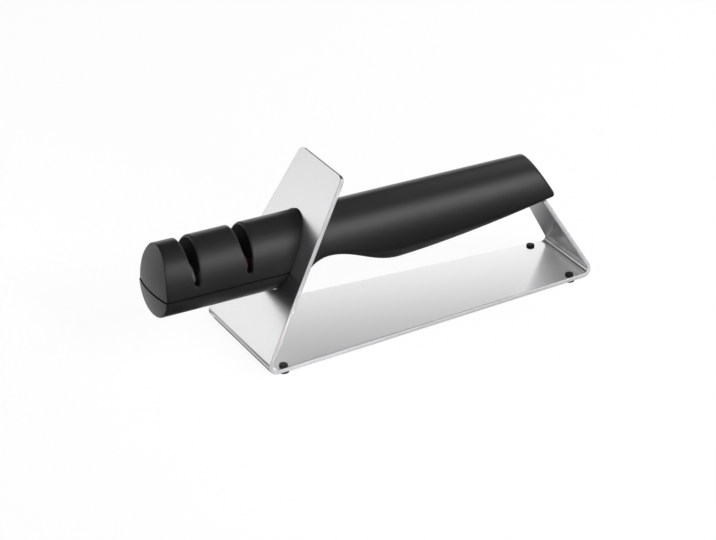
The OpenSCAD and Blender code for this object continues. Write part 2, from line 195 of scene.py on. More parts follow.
# Curves of the sharpener's body

def egg(z):
    """Width factor of the upper half: (1 - (z / crown)^n)^(1/n), with z above the seam."""
    return (1 - np.clip(z / CROWN, 0, 1) ** EGG) ** (1 / EGG)


def half_width(x):
    """Half the body's width: the head's, less a share that grows as the square of the way
    from the taper's start to the tail."""
    way = np.clip(x - TAPER_X, 0, None) / (TAIL_X - TAPER_X)
    return HEAD_W / 2 - (HEAD_W - TAIL_W) / 2 * way ** 2


def cubic(x, p, q, m, n):
    """Height at x on the cubic from p to q with the end slopes m and n (Hermite form)."""
    w = q[0] - p[0]
    t = (x - p[0]) / w
    return (p[1] * (2 * t ** 3 - 3 * t ** 2 + 1) + q[1] * (3 * t ** 2 - 2 * t ** 3)
            + m * w * (t ** 3 - 2 * t ** 2 + t) + n * w * (t ** 3 - t ** 2))


def underside(x):
    """Height of the underside's middle over the seam: the keel, an elliptic arch up to the
    finger notch, a cubic down to the belly and a cubic up to the tail."""
    x = np.asarray(x, float)
    arch = np.sqrt(1 - np.clip((NOTCH_X - x) / (NOTCH_X - STEP_X), 0, 1) ** 2)
    return np.select(
        [x <= STEP_X, x < NOTCH_X, x < BELLY_X],
        [np.full_like(x, -KEEL), -KEEL + (NOTCH_H + KEEL) * arch,
         cubic(x, (NOTCH_X, NOTCH_H), (BELLY_X, -BELLY_H), 0, BELLY_SLOPE)],
        cubic(x, (BELLY_X, -BELLY_H), (TAIL_X, TAIL_H), BELLY_SLOPE, TAIL_SLOPE))


def bow(c, n):
    """Coordinate of a superellipse of power n, from its angle's cosine or sine c."""
    return np.sign(c) * np.abs(c) ** (2 / n)


def lower_power(w):
    """Power of the lower skin's superellipse, whose widest line is at height w."""
    return 2 + 0.6 * w / WIDEST_RISE


def widest(b):
    """Height of the widest line over an underside at height b, a power of its rise."""
    return WIDEST_RISE * (np.clip(b + KEEL, 0, None) / (NOTCH_H + KEEL)) ** 1.5


def nose_x(y, z):
    """The end face's bulge: it falls back as the square of the distance from the middle of
    the seam, with z above the seam."""
    return -NOSE + (y ** 2 + z ** 2) * DOME / (HEAD_W / 2) ** 2


def side_normal(y, z):
    """Unit normal of the upper half's outline at (y, z), from the gradient of
    |y / a|^n + (z / crown)^n."""
    a = HEAD_W / 2
    ny = np.sign(y) * np.abs(y / a) ** (EGG - 1) / a
    nz = (z / CROWN) ** (EGG - 1) / CROWN
    length = np.hypot(ny, nz)
    return ny / length, nz / length


# Meshes

def seat(points):
    """Points in millimetres from the stand's corner to metres in the model's frame."""
    points = np.asarray(points, float) - (ORIGIN_X, 0, 0)
    return points * MM


def grid_faces(rows, cols, start, closed=False):
    """Quads of a rows x cols grid of vertices, whose columns may close to a ring."""
    i, j = np.meshgrid(np.arange(rows - 1), np.arange(cols if closed else cols - 1), indexing="ij")
    k = (j + 1) % cols
    quads = np.stack([i * cols + j, i * cols + k, (i + 1) * cols + k, (i + 1) * cols + j], -1)
    return quads.reshape(-1, 4) + start


def mesh_object(name, parts, sharp=40.0, uv=None):
    """One object from grids given as (points, closed). Grids that share an edge are joined
    there, and all faces are turned outwards."""
    points, faces, start = [], [], 0
    for grid, closed in parts:
        rows, cols = grid.shape[:2]
        points.append(grid.reshape(-1, 3))
        faces.append(grid_faces(rows, cols, start, closed))
        start += rows * cols
    mesh = bpy.data.meshes.new(name)
    mesh.from_pydata(seat(np.concatenate(points)), [], np.concatenate(faces).tolist())
    obj = bpy.data.objects.new(name, mesh)
    bpy.context.scene.collection.objects.link(obj)
    if uv is not None:
        layer = mesh.uv_layers.new(name="length_and_width")
        loops = np.empty(len(mesh.loops), np.int32)
        mesh.loops.foreach_get("vertex_index", loops)
        layer.data.foreach_set("uv", np.concatenate(uv)[loops].ravel())
    weld(obj)
    shade(obj, sharp)
    return obj


def weld(obj):
    """Joins doubled vertices, drops faces that shrink to nothing, turns faces outwards."""
    bm = bmesh.new()
    bm.from_mesh(obj.data)
    bmesh.ops.remove_doubles(bm, verts=bm.verts, dist=WELD)
    bmesh.ops.dissolve_degenerate(bm, edges=bm.edges, dist=WELD)
    bmesh.ops.recalc_face_normals(bm, faces=bm.faces)
    bm.to_mesh(obj.data)
    bm.free()


def shade(obj, sharp):
    """Smooth shading, with edges over the angle, in degrees, kept sharp."""
    obj.data.shade_smooth()
    obj.data.set_sharp_from_angle(angle=math.radians(sharp))


def carve(obj, cutters, sharp=40.0):
    """Takes the cutters out of obj and keeps the result as its mesh."""
    for cutter in cutters:
        step = obj.modifiers.new("cut", "BOOLEAN")
        step.operation, step.solver, step.object = "DIFFERENCE", "EXACT", cutter
    bpy.context.view_layer.update()
    shape = obj.evaluated_get(bpy.context.evaluated_depsgraph_get())
    mesh = bpy.data.meshes.new_from_object(shape)
    obj.modifiers.clear()
    old, obj.data = obj.data, mesh
    mesh.name = obj.name
    bpy.data.meshes.remove(old)
    for cutter in cutters:
        bpy.data.objects.remove(cutter)
    shade(obj, sharp)


def face_values(obj, field):
    """The normal or centre of each face as rows of a table."""
    values = np.empty(len(obj.data.polygons) * 3, np.float32)
    obj.data.polygons.foreach_get(field, values)
    return values.reshape(-1, 3)


def paint(obj, names, choice):
    """Puts the named materials on obj, where choice gives each face the number of its own."""
    for name in names:
        obj.data.materials.append(bpy.data.materials[name])
    obj.data.polygons.foreach_set("material_index", choice.astype(np.int32))


def cap(ring, centre, scales):
    """Rings from a closed outline down to its centre, drawn in by each scale in turn."""
    return np.stack([centre + (ring - centre) * s for s in scales])


def prism(name, rings):
    """A solid between two rings, each closed by a flat end."""
    ends = [(cap(ring, ring.mean(0), (1, 0)), True) for ring in rings]
    return mesh_object(name, [(rings, True), *ends])


def bar(name, outline_y, outline_z, x0, x1):
    """A closed bar along X with the given outline, used as a cutter."""
    outline = np.stack([np.zeros_like(outline_y), outline_y, outline_z + PARTING], -1)
    return prism(name, np.stack([outline + (x0, 0, 0), outline + (x1, 0, 0)]))


def turned(name, profile, place, along="x", steps=96, sharp=40.0):
    """A solid of revolution: each (radius, way) of the profile goes round an axis at place."""
    radius, way = np.array(profile, float).T
    t = np.linspace(0, 2 * math.pi, steps, endpoint=False)
    c, s = radius[:, None] * np.cos(t), radius[:, None] * np.sin(t)
    w = np.broadcast_to(way[:, None], c.shape)
    grid = np.stack([w, c, s] if along == "x" else [c, s, w], -1) + place
    return mesh_object(name, [(grid, True)], sharp=sharp)


def rounded(profile, radius, steps=4):
    """Rounds the corners of a closed (radius, way) profile: each corner becomes a quadratic
    arc between the points that lie the given distance before and after it."""
    p = np.array(profile, float)
    before, after = np.roll(p, 1, 0) - p, np.roll(p, -1, 0) - p
    reach_b = np.minimum(radius / np.linalg.norm(before, axis=1), 0.45)[:, None]
    reach_a = np.minimum(radius / np.linalg.norm(after, axis=1), 0.45)[:, None]
    a, b = p + before * reach_b, p + after * reach_a
    t = np.linspace(0, 1, steps)[:, None, None]
    arcs = a * (1 - t) ** 2 + 2 * p * t * (1 - t) + b * t ** 2
    return arcs.transpose(1, 0, 2).reshape(-1, 2)


# The stand

def tapered(s, length, foot_w, top_w):
    """Half the width at s of a part of the sheet whose sides run straight."""
    return (foot_w + (top_w - foot_w) * s / length) / 2


def base_half_w(x):
    return tapered(x, STAND_LEN, FRONT_W, REAR_W)


def leg_meets():
    """Place and height where the leg's outer face comes up to the handle's underside, from
    steps between the two that settle."""
    x = TAIL_X - 5
    for _ in range(8):
        rise = PARTING + float(underside(x)) - REST_GAP - FOOT_H
        x = STAND_LEN - rise / math.tan(LEG_ANGLE)
    return x, rise + FOOT_H


MEET_X, MEET_Z = leg_meets()
LEG_LEN = (STAND_LEN - MEET_X) / math.cos(LEG_ANGLE) + SADDLE / math.sin(LEG_ANGLE)


def wall_half_w(s, length, foot_w, top_w, corner):
    """Half the width of a wall at s, with its two top corners rounded by a circle."""
    slant = math.atan((foot_w - top_w) / 2 / length)
    cs = length - corner
    cy = top_w / 2 + corner * math.tan(slant) - corner / math.cos(slant)
    straight = tapered(s, length, foot_w, top_w)
    arc = cy + np.sqrt(np.clip(corner ** 2 - (s - cs) ** 2, 0, None))
    return np.where(s > cs + corner * math.sin(slant), arc, straight)


def strip_path(edge):
    """Stations along the sheet from the plate's top to the leg's top: the outer face's line,
    the unit vector into the sheet, half the width, and how far the sheet is drawn in on all
    sides there. The last few stations at each end turn the cut edge round."""
    bend_out = BEND_R + SHEET
    t0, t1 = bend_out / math.tan(PLATE_ANGLE / 2), bend_out / math.tan(LEG_ANGLE / 2)
    turn = np.radians(np.linspace(90, 0, 5))
    ends = []
    for length, foot_w, top_w, corner, tangent in (
            (PLATE_LEN, FRONT_W, PLATE_TOP_W, PLATE_CORNER, t0),
            (LEG_LEN, REAR_W, LEG_TOP_W, LEG_CORNER, t1)):
        arc = length - corner + corner * np.sin(np.radians(np.linspace(0, 84, 13)))
        flat = np.linspace(tangent, length - corner, 8, endpoint=False)
        s = np.concatenate([flat, arc, length - edge + edge * np.cos(turn)])
        s = np.maximum.accumulate(np.minimum(s, length))
        draw = np.concatenate([np.zeros(len(flat) + len(arc)), edge * (1 - np.sin(turn))])
        keep = np.concatenate([[True], np.diff(s) > 1e-4])
        keep[-len(turn):] = True
        keep[len(flat):-len(turn)] &= s[len(flat):-len(turn)] < length - edge - 1e-3
        s, draw = s[keep], draw[keep]
        width = wall_half_w(np.minimum(s, length - 0.02), length, foot_w, top_w, corner)
        ends.append((s, draw, width))
    (s0, d0, w0), (s1, d1, w1) = ends
    n = 33
    share = np.linspace(0, 1, n)
    a0 = math.pi / 2 + PLATE_ANGLE + (math.pi - PLATE_ANGLE) * share
    a1 = 1.5 * math.pi + (math.pi - LEG_ANGLE) * share
    plate_w = tapered(t0, PLATE_LEN, FRONT_W, PLATE_TOP_W)
    leg_w = tapered(t1, LEG_LEN, REAR_W, LEG_TOP_W)
    bend0 = plate_w + (base_half_w(t0) - plate_w) * share
    x1 = STAND_LEN - t1
    bend1 = base_half_w(x1) + (leg_w - base_half_w(x1)) * share
    base_x = np.linspace(t0, x1, 12)[1:-1]
    level = len(base_x)
    c0, c1 = (t0, bend_out), (x1, bend_out)
    outer = np.concatenate([
        np.stack([s0 * math.cos(PLATE_ANGLE), s0 * math.sin(PLATE_ANGLE)], -1)[::-1],
        np.stack([c0[0] + bend_out * np.cos(a0), c0[1] + bend_out * np.sin(a0)], -1)[1:],
        np.stack([base_x, np.zeros(level)], -1),
        np.stack([c1[0] + bend_out * np.cos(a1), c1[1] + bend_out * np.sin(a1)], -1),
        np.stack([STAND_LEN - s1 * math.cos(LEG_ANGLE), s1 * math.sin(LEG_ANGLE)], -1)[1:]])
    inward = np.concatenate([
        np.tile((math.sin(PLATE_ANGLE), -math.cos(PLATE_ANGLE)), (len(s0), 1)),
        np.stack([-np.cos(a0), -np.sin(a0)], -1)[1:],
        np.tile((0.0, 1.0), (level, 1)),
        np.stack([-np.cos(a1), -np.sin(a1)], -1),
        np.tile((-math.sin(LEG_ANGLE), -math.cos(LEG_ANGLE)), (len(s1) - 1, 1))])
    width = np.concatenate([w0[::-1], bend0[1:], base_half_w(base_x), bend1, w1[1:]])
    draw = np.concatenate([d0[::-1], np.zeros(n - 1 + level + n), d1[1:]])
    return outer, inward, width, draw


def saddle_bar():
    """A bar along the handle's underside, the cutter that fits the leg's top edge to it: the
    lower skin's superellipse where the leg meets the handle, widened by the gap."""
    roof_height, reach = 6, 10
    tilt = math.atan(TAIL_SLOPE)
    along = np.array([math.cos(tilt), 0, math.sin(tilt)])
    up = np.array([-math.sin(tilt), 0, math.cos(tilt)])
    b = underside(MEET_X)
    w = widest(b)
    n = lower_power(w)
    t = np.linspace(0, math.pi, 91)[:, None]
    y = (egg(w) * half_width(MEET_X) + REST_GAP) * bow(np.cos(t), n)
    rise = (w - b) * (1 - np.sin(t).clip(0) ** (2 / n))
    ring = np.array([MEET_X, 0, MEET_Z]) + y * np.array([0, 1, 0]) + rise * up
    roof = ring[[-1, 0]] + roof_height * up
    ring = np.concatenate([ring, roof])
    return prism("saddle_cut", np.stack([ring - reach * along, ring + reach * along]))


def build_stand(edge):
    """The bent sheet: a rounded rectangle, as wide as the strip is at each station, carried
    along the strip's path, with the opening, the foot holes and the saddle taken out."""
    outer, inward, width, draw = strip_path(edge)
    turn = np.radians(np.linspace(0, 90, 5))
    rim = edge * 1.15
    near = np.concatenate([[rim], edge * (1 - np.sin(turn))])
    deep = np.concatenate([[0], edge * (1 - np.cos(turn))])
    inset = np.concatenate([near, near[::-1]])
    depth = np.concatenate([deep, SHEET - deep[::-1]])
    across = np.linspace(-1, 1, 9)[1:-1]
    fill = np.zeros(len(across))
    side = np.concatenate([np.ones(len(inset)), -across, -np.ones(len(inset)), across])
    inset = np.concatenate([inset, fill, inset[::-1], fill])
    depth = np.concatenate([depth, fill + SHEET, depth[::-1], fill])
    mid = SHEET / 2
    d = mid + (depth - mid) * (1 - draw[:, None] / mid)
    flat = np.abs(side) < 1
    y = np.where(flat, side * (width[:, None] - rim - draw[:, None]),
                 side * (width[:, None] - inset - draw[:, None]))
    x = outer[:, :1] + inward[:, :1] * d
    z = outer[:, 1:] + inward[:, 1:] * d + FOOT_H
    grid = np.stack([x, y, z], -1)
    way = np.concatenate([[0], np.cumsum(np.linalg.norm(np.diff(outer, axis=0), axis=1))])
    uv = np.stack([np.broadcast_to(way[:, None], y.shape), y], -1) * MM
    ends = [cap(g, g.mean(0), (1, 0.5, 0)) for g in (grid[0], grid[-1])]
    uv_ends = [np.broadcast_to(uv[k], (3,) + uv[k].shape) for k in (0, -1)]
    stand = mesh_object(
        "stand_sheet_skin", [(grid, True), (ends[0], True), (ends[1], True)],
        uv=[u.reshape(-1, 2) for u in (uv, *uv_ends)])
    t = np.radians(np.arange(0, 360, 3))
    lift, grow = (CROWN - KEEL) / 2, OPENING_GAP
    up = np.sin(t) >= 0
    n = np.where(up, EGG, 2.0)
    half = np.where(up, CROWN, KEEL)
    oy = HEAD_W / 2 * bow(np.cos(t), n)
    oz = half * bow(np.sin(t), n)
    oy = oy * (1 + grow * 2 / HEAD_W)
    oz = lift + (oz - lift) * (1 + grow * 2 / (CROWN + KEEL))
    cutters = [bar("opening_cut", oy, oz, 0, STEP_X + 20), saddle_bar()]
    for x, y in foot_places():
        hole = [(0, FOOT_H - 1), (NECK_D / 2 + 0.05, FOOT_H - 1),
                (NECK_D / 2 + 0.05, FOOT_H + SHEET + 1), (0, FOOT_H + SHEET + 1)]
        cutters.append(turned("foot_hole_cut", hole, (x, y, 0), "z", 48))
    carve(stand, cutters)
    # The plate's top edge and the opening's wall get dark steel, painted shade.
    paint(stand, ("brushed_stainless", "cut_steel_edge", "painted_shade_steel_edge"), cut_edges(stand))
    return stand


def cut_edges(stand):
    """For each face 0, or 1 on the sheet's long cut edges, or 2 on the plate's top edge and on
    the opening's wall, whose dark steel is painted shade."""
    above_bend, edge_on, sideways, margin = 12, 0.6, 0.3, 1
    normals = face_values(stand, "normal")
    x, y, z = face_values(stand, "center").T / MM
    plate = (x < 0) & (z > above_bend)
    across = np.abs(normals @ (-math.sin(PLATE_ANGLE), 0, math.cos(PLATE_ANGLE))) < edge_on
    inside = ((np.abs(y) < HEAD_W / 2 + margin) & (z > PARTING - KEEL - margin)
              & (z < PARTING + CROWN + margin))
    wall = plate & across & inside
    top = plate & (z > FOOT_H + (PLATE_LEN - margin) * math.sin(PLATE_ANGLE)) & across
    return np.where(wall | top, 2, np.abs(normals[:, 1]) > sideways)


def foot_places():
    """Centres of the four feet: front right, front left, rear right, rear left."""
    places = []
    for x, inset in (FRONT_FOOT, (STAND_LEN - REAR_FOOT[0], REAR_FOOT[1])):
        places += [(x, side * (base_half_w(x) - inset)) for side in (-1, 1)]
    return places


# The sharpener's skins

def lip_row():
    """Height at which a slot's rim, drawn in by the flank lip, touches the slot's floor."""
    z = FLOOR_H
    lip = rounding("flank_lip")
    for _ in range(20):
        y = HEAD_W / 2 * egg(z)
        z = FLOOR_H + lip * side_normal(y, z)[1]
    return float(z)


def row_shares():
    """Heights of the upper skin's rows as shares of the crown: fine at the foot of the
    slots, where their round ends meet the flank, and by equal angles above."""
    tip = lip_row()
    low = [0.6, 1.2, 1.9, 2.5, 2.9, 3.15, 3.4, 3.6, 3.75, 3.88, tip]
    foot = tip + np.array([0.015, 0.05, 0.1, 0.18, 0.3, 0.45, 0.62, 0.82, 1.04, 1.3, 1.65, 2.1])
    high = CROWN * np.sin(np.radians(np.linspace(17.5, 90, 38)))
    return np.concatenate([[rounding("seam_edge")], low, foot, high]) / CROWN


def drawn_in(z, b, inset):
    """Height z, between the underside b and the crown, drawn in towards their middle."""
    mid = (CROWN + b) / 2
    return mid + (z - mid) * (1 - inset * 2 / (CROWN - b))


def upper_rows(x, lean, inset, shares):
    """Upper skin: at the station whose foot is x, the point at share h of the way from the
    widest line to the crown, on both sides, leant back and drawn in."""
    x, lean, inset = (np.atleast_1d(v).astype(float)[:, None] for v in (x, lean, inset))
    h = np.concatenate([shares, shares[-2::-1]])
    side = np.concatenate([np.ones(len(shares)), -np.ones(len(shares) - 1)])
    b = underside(x)
    w = widest(b)
    z = w + (CROWN - w) * h
    px = x - lean * (z - b)
    y = side * egg(z) * (half_width(px) - inset)
    return np.stack([px + 0 * z, y, drawn_in(z, b, inset) + PARTING], -1)


def lower_rows(x, lean, inset, upper, count=40):
    """Lower skin: a superellipse from the widest line on the right, under the body, to the
    widest line on the left. Its two ends are the upper skin's own end points."""
    x, lean, inset = (np.atleast_1d(v).astype(float)[:, None] for v in (x, lean, inset))
    b = underside(x)
    w = widest(b)
    n = lower_power(w)
    t = np.linspace(0, math.pi, count - 2)
    z = w - (w - b) * np.sin(t).clip(0) ** (2 / n)
    px = x - lean * (z - b)
    y = -bow(np.cos(t), n) * egg(w) * (half_width(px) - inset)
    inner = np.stack([px + 0 * z, y, drawn_in(z, b, inset) + PARTING], -1)
    return np.concatenate([upper[:, -1:], inner, upper[:, :1]], 1)


def seam_row(first, last, level, turn_up, count=40):
    """Flat face at the seam, from the end point first on the right to last on the left, with
    the edge rounded towards the skin. level is its height and turn_up its sign."""
    edge = rounding("seam_edge")
    a = np.radians(np.linspace(0, 90, 5))[1:]
    half = HEAD_W / 2
    y_arc = half - edge * (1 - np.cos(a))
    z_arc = level + turn_up * edge * (1 - np.sin(a))
    flat = np.linspace(-(half - edge), half - edge, count - 8)[1:-1]
    y = np.concatenate([-y_arc, flat, y_arc[::-1]])
    z = np.concatenate([z_arc, np.full(len(flat), level), z_arc[::-1]]) + PARTING
    row = np.stack([np.zeros_like(y), y, z], -1)
    return np.concatenate([first[None] * (0, 1, 1), row, last[None] * (0, 1, 1)])


def nose_grids(outline, centre, half, radii, step=0):
    """The bulged end face and the rounding to the side: rings of the outline drawn in
    towards its centre, first round the edge's quarter circle, then flat to the middle. The
    step brings the whole face forwards."""
    a = np.radians(np.linspace(90, 0, 7))[:, None]
    yz = outline[None, :, 1:]
    pull = radii * (1 - np.sin(a))
    share = (yz - centre) / half
    ring = yz - pull[..., None] * share
    x = nose_x(ring[..., 0], ring[..., 1] - PARTING) + radii * (1 - np.cos(a)) - step
    edge = np.concatenate([x[..., None], ring], -1)
    scales = np.array([1, 0.97, 0.88, 0.75, 0.6, 0.45, 0.3, 0.15, 0])[:, None, None]
    face = centre + (ring[-1] - centre) * scales
    face = np.concatenate([nose_x(face[..., :1], face[..., 1:] - PARTING) - step, face], -1)
    return edge, face


def half_gap(z):
    """Half the width of a blade slot at height z over the seam: a round floor, then walls
    that lean apart up to the lips."""
    floor = np.sqrt(np.clip(FLOOR_R ** 2 - (FLOOR_H + FLOOR_R - z) ** 2, 0, None))
    slope = (TOP_R - FLOOR_R) / (CROWN - LIP_R - FLOOR_H - FLOOR_R)
    wall = FLOOR_R + (z - FLOOR_H - FLOOR_R) * slope
    return np.where(z < FLOOR_H + FLOOR_R, floor, wall)


def slot_grids(xc, y, z):
    """A blade slot cut across the upper skin, whose rows have the outline (y, z).

    The rim is the outline drawn in along its normal by the lip radius r, and lies where the
    slot's wall is at that height. Above the height growth, r grows from the flank's lip to
    the crown's. Round the rim the skin sinks by r - sqrt(r^2 - (r - d)^2)
    at the distance d from it. Inside the rim each row runs down the wall, across the round
    floor and up again, on rays towards the axle."""
    low, high = rounding("flank_lip"), rounding("crown_lip")
    ny, nz = side_normal(y, z)
    growth = 9
    r = low + (high - low) * np.clip((z - growth) / (CROWN - growth), 0, 1) ** 2
    qy, qz = y - r * ny, z - r * nz
    reach = np.where(qz > FLOOR_H + 1e-6, half_gap(qz), 0)
    drop = FLOOR_H + FLOOR_R - qz
    lip_end = np.sqrt(np.clip((FLOOR_R + r) ** 2 - drop ** 2, 0.09, None))
    lip = np.where(drop > 0, lip_end - reach, r)
    k = np.linspace(0, 1, 8)
    near = reach[:, None] + lip[:, None] * (1 - np.cos(k * math.pi / 2))
    rest = np.linspace(0, 1, 5)[1:]
    far = (reach + lip)[:, None] + (SLOT_REACH - reach - lip)[:, None] * rest
    x = np.concatenate([near, far], 1)
    gap = np.where(drop[:, None] > 0, np.hypot(x, drop[:, None]) - FLOOR_R, x - reach[:, None])
    gap = np.clip(gap, 0, r[:, None])
    sink = r[:, None] - np.sqrt(r[:, None] ** 2 - (r[:, None] - gap) ** 2)
    py, pz = y[:, None] - sink * ny[:, None], z[:, None] - sink * nz[:, None] + PARTING
    grids = [np.stack([xc + s * x, py, pz], -1) for s in (-1, 1)]
    rows = qz > FLOOR_H - 1e-4
    heights = np.concatenate([
        FLOOR_H + FLOOR_R * (1 - np.cos(np.linspace(0, math.pi / 2, 60))),
        np.linspace(FLOOR_H + FLOOR_R, CROWN, 60)[1:]])
    way = np.concatenate([[0], np.cumsum(np.hypot(np.diff(half_gap(heights)), np.diff(heights)))])
    total = np.interp(qz[rows], heights, way)
    q = np.linspace(0, 1, 17) ** 1.8
    h = np.interp(total[:, None] * q, way, heights)
    h = np.minimum(h, qz[rows][:, None])
    h[:, -1] = qz[rows]
    bx = half_gap(h)
    bx[:, 0] = 0
    bx[:, -1] = reach[rows]
    by = qy[rows][:, None] * h / qz[rows][:, None]
    right = np.stack([xc + bx, by, h + PARTING], -1)
    left = np.stack([xc - bx, by, h + PARTING], -1)
    return grids + [np.concatenate([left[:, ::-1], right[:, 1:]], 1)]


def pocket_cutters():
    """Discs that take the pockets of the two pairs of wheels out of a skin."""
    disc = [(0, -POCKET_HALF), (POCKET_R, -POCKET_HALF), (POCKET_R, POCKET_HALF), (0, POCKET_HALF)]
    return [turned("pocket_cut", disc, (xc, 0, PARTING)) for xc in (COARSE_X, FINE_X)]


def build_housing():
    """Upper shell and handle: the egg-shaped section swept from the bulged end face to the
    leaning tail, with both blade slots, the seam's flat face and the pockets of the wheels."""
    shares = row_shares()
    head = upper_rows([0.0], 0, 0, shares)[0]
    y, z = head[:, 1], head[:, 2] - PARTING
    seam = seam_row(head[-1], head[0], 0.0, 1)
    outline = np.concatenate([head, seam[1:-1]])
    radii = np.full(len(outline), rounding("nose_edge"))
    radii[len(head):] = rounding("seam_edge")
    blend = np.clip(z / 2.0, 0, 1)
    radii[:len(head)] = radii[-1] + (radii[0] - radii[-1]) * blend
    edge, face = nose_grids(outline, np.array([0, PARTING + 9.0]), np.array([HEAD_W / 2, 11.0]),
                            radii)
    start = edge[0]

    def straight(xs, first=None):
        rows = [head * (0, 1, 1) + (x, 0, 0) for x in xs]
        return np.stack(([first] if first is not None else []) + rows)

    parts = [(edge, True), (face, True)]
    parts.append((straight([NOSE_END, COARSE_X - SLOT_REACH], start[:len(head)]), False))
    for xc in (COARSE_X, FINE_X):
        parts += [(g, False) for g in slot_grids(xc, y, z)]
    between = np.linspace(COARSE_X + SLOT_REACH, FINE_X - SLOT_REACH, 4)
    parts.append((straight(between), False))
    first_seam = np.concatenate([start[len(head) - 1:], start[:1]])
    seams = [first_seam] + [seam * (0, 1, 1) + (x, 0, 0) for x in (NOSE_END, -10, COVER_END)]
    parts.append((np.stack(seams), False))

    arch = NOTCH_X - (NOTCH_X - STEP_X) * np.cos(np.radians(np.arange(5, 91, 5)))
    back = np.linspace(NOTCH_X, BELLY_X, 33)[1:]
    grip = np.linspace(BELLY_X, TAIL_X - TAIL_R, 61)[1:]
    turn = np.radians(np.linspace(0, 90, 8))[1:]
    end = TAIL_X - TAIL_R * (1 - np.sin(turn))
    x = np.concatenate([[COVER_END, 28, STEP_X], arch, back, grip, end])
    shear = 1 / math.tan(TAIL_ANGLE)
    lean = shear * np.clip((x - SHEAR_X) / (TAIL_X - SHEAR_X), 0, 1)
    lean[-len(turn):] = shear
    inset = np.zeros(len(x))
    inset[-len(turn):] = TAIL_R * (1 - np.cos(turn))
    upper = upper_rows(x, lean, inset, shares)
    lower = lower_rows(x, lean, inset, upper)
    parts.append((straight([FINE_X + SLOT_REACH, HEAD_END]), False))
    parts.append((np.concatenate([straight([HEAD_END]), upper]), False))
    parts.append((lower, False))
    flat = seam * (0, 1, 1) + (COVER_END, 0, 0)
    steps = np.linspace(0, 1, 4)[:, None, None]
    parts.append((flat + (lower[0] - flat) * steps, False))
    tail = np.concatenate([upper[-1], lower[-1][1:-1]])
    parts.append((cap(tail, tail.mean(0), (1, 0.985, 0.9, 0.7, 0.45, 0.2, 0)), True))
    housing = mesh_object("housing_skin", parts)
    carve(housing, pocket_cutters())
    # The slot and pocket walls and the seam get the darker plastic, painted shade.
    paint(housing, ("satin_black_plastic", "slot_shade_and_seam_plastic"), slot_shade_and_seam_faces(housing))
    return housing


def slot_shade_and_seam_faces(obj):
    """True for each face of a skin that lies in a slot, in a wheel's pocket or in the seam.
    These faces get a darker, duller plastic: painted shade in the slots and pockets, and the
    seam's dark line. A face within this share of the outline isn't on the outside."""
    within = 0.93
    x, y, z = (face_values(obj, "center") / MM + (ORIGIN_X, 0, -PARTING)).T
    edge = rounding("seam_edge")
    inside = (y / HEAD_W * 2) ** 2 + (np.maximum(z, 0) / CROWN) ** 2 < within ** 2
    near = np.minimum(np.abs(x - COARSE_X), np.abs(x - FINE_X)) < POCKET_HALF + 0.1
    seam = (z < edge * 0.9) & (z > -SEAM - edge * 0.9) & (x < COVER_END + 0.1)
    return (inside & near & (z > 0.05)) | seam


def build_cover():
    """Lower cover: the keel's half ellipse swept from the bulged end face to the plate's far
    side, closed by the seam's flat face, with wheel pockets and screw recesses."""
    edge_r = rounding("seam_edge")
    level = -SEAM
    t0 = math.asin((SEAM + edge_r) / KEEL)
    t = np.linspace(t0, math.pi - t0, 72)
    keel = np.stack([0 * t, -HEAD_W / 2 * np.cos(t), PARTING - KEEL * np.sin(t)], -1)
    seam = seam_row(keel[-1], keel[0], level, -1)
    seam[:, 1] *= -1
    outline = np.concatenate([keel, seam[1:-1]])
    radii = np.full(len(outline), edge_r)
    wide, low = rounding("nose_edge"), rounding("keel_edge")
    s = np.sin(t)
    radii[:len(t)] = np.where(s < 0.25, edge_r + (wide - edge_r) * s / 0.25,
                              wide + (low - wide) * ((s - 0.25) / 0.75) ** 2)
    centre, half = np.array([0, PARTING - KEEL / 2]), np.array([HEAD_W / 2, KEEL / 2])
    edge, face = nose_grids(outline, centre, half, radii, NOSE_STEP)
    end = COVER_END - SEAM
    turn = np.radians(np.linspace(0, 90, 5))
    xs = np.concatenate([[NOSE_END, -20, -5, 8, end - 4], end - edge_r * (1 - np.sin(turn))])
    pull = np.concatenate([np.zeros(5), edge_r * (1 - np.cos(turn))])
    share = (outline[:, 1:] - centre) / half
    rings = [np.concatenate([np.full((len(outline), 1), x), outline[:, 1:] - p * share], -1)
             for x, p in zip(xs, pull)]
    body = np.stack([edge[0]] + rings)
    back = cap(body[-1], np.array([end, *centre]), (1, 0.9, 0.5, 0))
    cover = mesh_object("cover_skin", [(edge, True), (face, True), (body, True), (back, True)])
    cutters = pocket_cutters()
    bottom = -KEEL
    for x in SCREWS:
        hole = [(0, bottom - 1), (RECESS_R + 0.2, bottom - 1), (RECESS_R + 0.2, bottom),
                (RECESS_R, bottom + 0.2), (RECESS_R, bottom + SCREW_SEAT),
                (SCREW_HOLE_R, bottom + SCREW_SEAT), (SCREW_HOLE_R, 1), (0, 1)]
        cutters.append(turned("screw_cut", hole, (x, 0, PARTING), "z", 64))
    carve(cover, cutters)
    # The pocket walls and the seam get the darker plastic, painted shade.
    paint(cover, ("satin_black_plastic", "slot_shade_and_seam_plastic"), slot_shade_and_seam_faces(cover))
    return cover


def build_foot(name, x, y):
    """Push-through foot: a turned profile with a soft cap above the sheet, the neck in its
    hole and a flange below."""
    top = FOOT_H + SHEET
    outline = [(0, 0), (FOOT_D / 2, 0), (FOOT_D / 2, FOOT_H), (NECK_D / 2, FOOT_H),
               (NECK_D / 2, top), (CAP_D / 2, top), (CAP_D / 2 - 0.1, top + CAP_H),
               (0, top + CAP_H)]
    steps = 5
    soft = rounded(outline, FOOT_ROUND, steps)[steps:-steps]
    profile = np.concatenate([outline[:1], soft, outline[-1:]])
    return turned(name, profile, (x, y, 0), "z", 64, 60)


